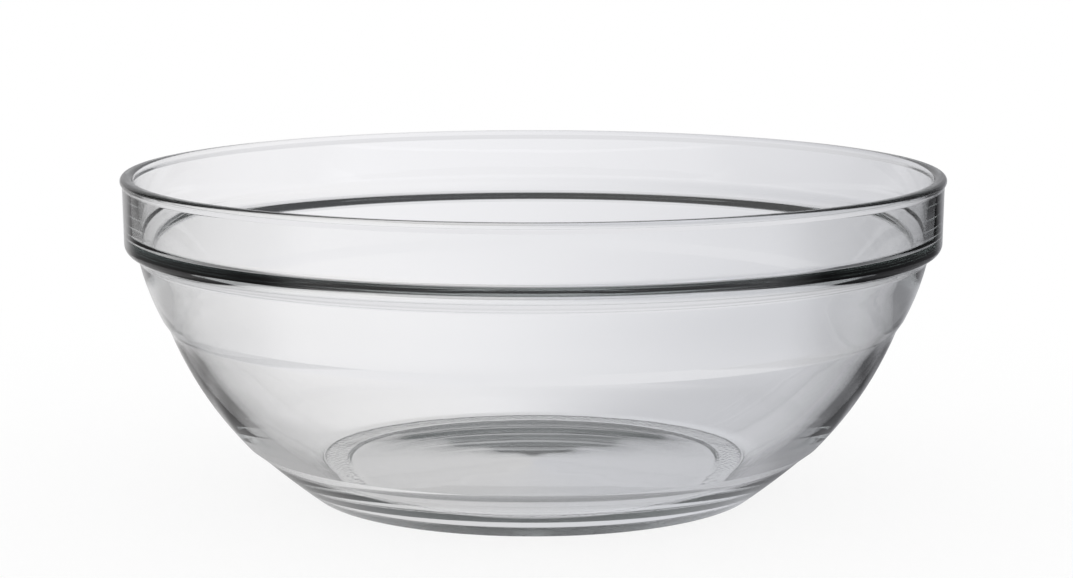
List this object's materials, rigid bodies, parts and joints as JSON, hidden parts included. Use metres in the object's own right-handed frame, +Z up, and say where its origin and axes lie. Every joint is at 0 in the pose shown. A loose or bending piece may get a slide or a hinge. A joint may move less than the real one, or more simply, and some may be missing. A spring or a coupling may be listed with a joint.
{
  "type": "glass salad bowl",
  "caption": "Clear pressed-glass salad bowl: rounded lip, upright stacking collar with an inner ledge, stepped flaring wall and a flat foot ring.",
  "frame": {"origin": "on the bowl's axis, in the plane of the foot ring's bearing face", "axes": "+Z up along the bowl's axis towards the open rim; X and Y are free, because the bowl is round"},
  "size_m": [0.26, 0.26, 0.102],
  "materials": {
    "clear_glass": "gloss"
  },
  "bodies": {
    "root": {"bowl": "clear_glass"}
  },
  "joints": []
}
